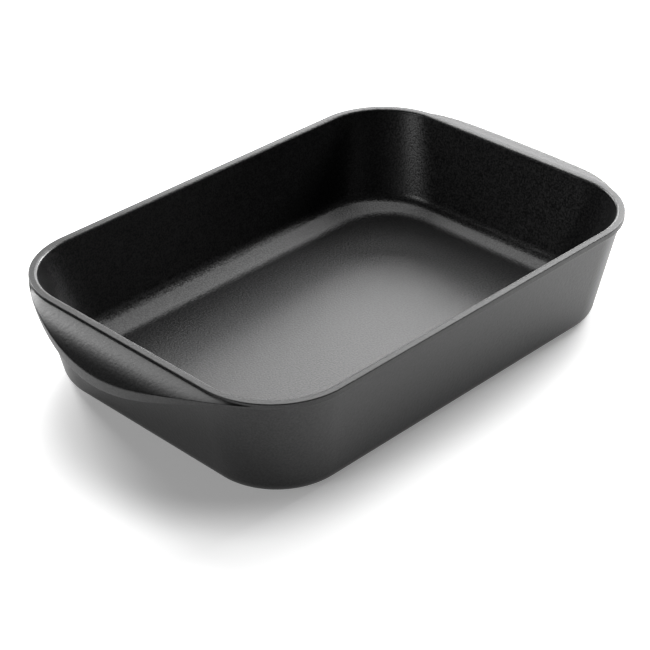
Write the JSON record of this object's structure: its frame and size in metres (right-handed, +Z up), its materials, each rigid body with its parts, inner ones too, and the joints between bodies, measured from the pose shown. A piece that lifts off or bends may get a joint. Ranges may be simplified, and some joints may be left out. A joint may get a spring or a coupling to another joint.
{
  "type": "gratin dish",
  "caption": "Deep rectangular gratin dish in die-cast aluminium with rounded corners, a flat rim bead, a wing handle at each short end and a dark non-stick lining.",
  "frame": {"origin": "centre of the foot, on the surface that the dish stands on", "axes": "+X along the long side, from handle to handle; +Y across the dish; +Z up out of the opening"},
  "size_m": [0.3346, 0.2096, 0.0628],
  "materials": {
    "cast_aluminium": "bare die casting, fine turned machining on the foot",
    "nonstick_film": "satin black sprayed non-stick film with a fine speckle",
    "lacquer_film": "satin black sprayed heat-proof lacquer"
  },
  "bodies": {
    "root": {"cast_body": "cast_aluminium", "nonstick_lining": "nonstick_film", "outer_lacquer": "lacquer_film"}
  },
  "joints": []
}
